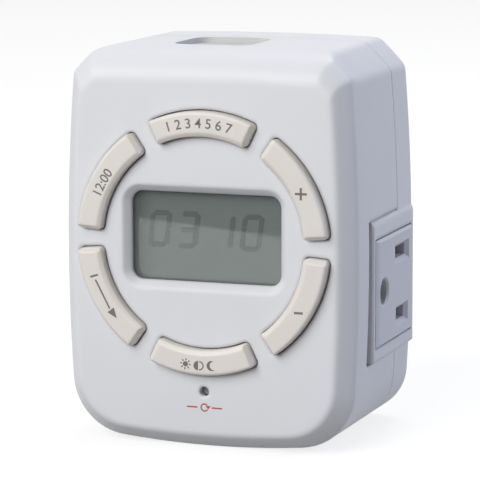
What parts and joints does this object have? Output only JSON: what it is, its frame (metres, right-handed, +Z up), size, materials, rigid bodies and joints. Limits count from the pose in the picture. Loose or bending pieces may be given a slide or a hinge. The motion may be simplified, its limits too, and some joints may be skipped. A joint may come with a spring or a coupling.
{
  "type": "astronomical timer",
  "caption": "Plug-in digital timer: a boxy housing with a display inside a ring of press keys, a grounded outlet on each side and a grounded plug at the back.",
  "frame": {"origin": "middle of the flat land under the housing, halfway between its front and rear faces", "axes": "+Z up along the housing's height, +Y to the rear along the plug's ground pin, +X to the viewer's right when the display is faced"},
  "size_m": [0.062, 0.067, 0.079],
  "materials": {
    "housing": "fine satin, cool off-white",
    "key": "satin, warm cream",
    "window": "clear, polished",
    "display": "grey-green liquid crystal glass",
    "frame_dark": "moulded, dark grey",
    "silicone": "moulded silicone, grey",
    "contact_rubber": "layered contact rubber",
    "board": "green solder mask",
    "chip": "moulded, black",
    "steel": "zinc plated",
    "cell": "sleeved cell",
    "can": "drawn can",
    "relay": "blue case",
    "film": "yellow case",
    "disc": "dipped coating",
    "outlet": "moulded, light grey",
    "brass": "rolled, bright",
    "plug_metal": "nickel plated brass"
  },
  "bodies": {
    "timer_body": {"front_housing": "housing", "rear_housing": "housing", "window_lens": "window", "lcd_panel": "display", "lcd_holder": "frame_dark", "contact_strips": "contact_rubber", "key_membrane": "silicone", "control_board": "board", "controller_chip": "chip", "crystal": "can", "backup_battery": "cell", "battery_tabs": "steel", "board_screws": "steel", "power_board": "board", "relay": "relay", "film_capacitor": "film", "smoothing_capacitor": "can", "varistor": "disc", "power_board_screws": "steel", "board_link": "frame_dark", "receptacle_right": "outlet", "receptacle_left": "outlet", "neutral_bar": "brass", "hot_bar": "brass", "ground_bar": "brass", "hot_blade": "plug_metal", "neutral_blade": "plug_metal", "ground_pin": "plug_metal", "housing_screws": "steel"},
    "program_key": {"program_key": "key"},
    "plus_key": {"plus_key": "key"},
    "minus_key": {"minus_key": "key"},
    "mode_key": {"mode_key": "key"},
    "resume_key": {"resume_key": "key"},
    "time_key": {"time_key": "key"},
    "reset_button": {"reset_button": "frame_dark"}
  },
  "joints": [
    {"name": "program_key_press", "type": "slide", "parent": "timer_body", "child": "program_key", "axis": [0, 1, 0], "range_m": [0, 0.0008], "stiffness_N_per_m": 1500},
    {"name": "plus_key_press", "type": "slide", "parent": "timer_body", "child": "plus_key", "axis": [0, 1, 0], "range_m": [0, 0.0008], "stiffness_N_per_m": 1500},
    {"name": "minus_key_press", "type": "slide", "parent": "timer_body", "child": "minus_key", "axis": [0, 1, 0], "range_m": [0, 0.0008], "stiffness_N_per_m": 1500},
    {"name": "mode_key_press", "type": "slide", "parent": "timer_body", "child": "mode_key", "axis": [0, 1, 0], "range_m": [0, 0.0008], "stiffness_N_per_m": 1500},
    {"name": "resume_key_press", "type": "slide", "parent": "timer_body", "child": "resume_key", "axis": [0, 1, 0], "range_m": [0, 0.0008], "stiffness_N_per_m": 1500},
    {"name": "time_key_press", "type": "slide", "parent": "timer_body", "child": "time_key", "axis": [0, 1, 0], "range_m": [0, 0.0008], "stiffness_N_per_m": 1500},
    {"name": "reset_press", "type": "slide", "parent": "timer_body", "child": "reset_button", "axis": [0, 1, 0], "range_m": [0, 0.0006], "stiffness_N_per_m": 1200}
  ]
}
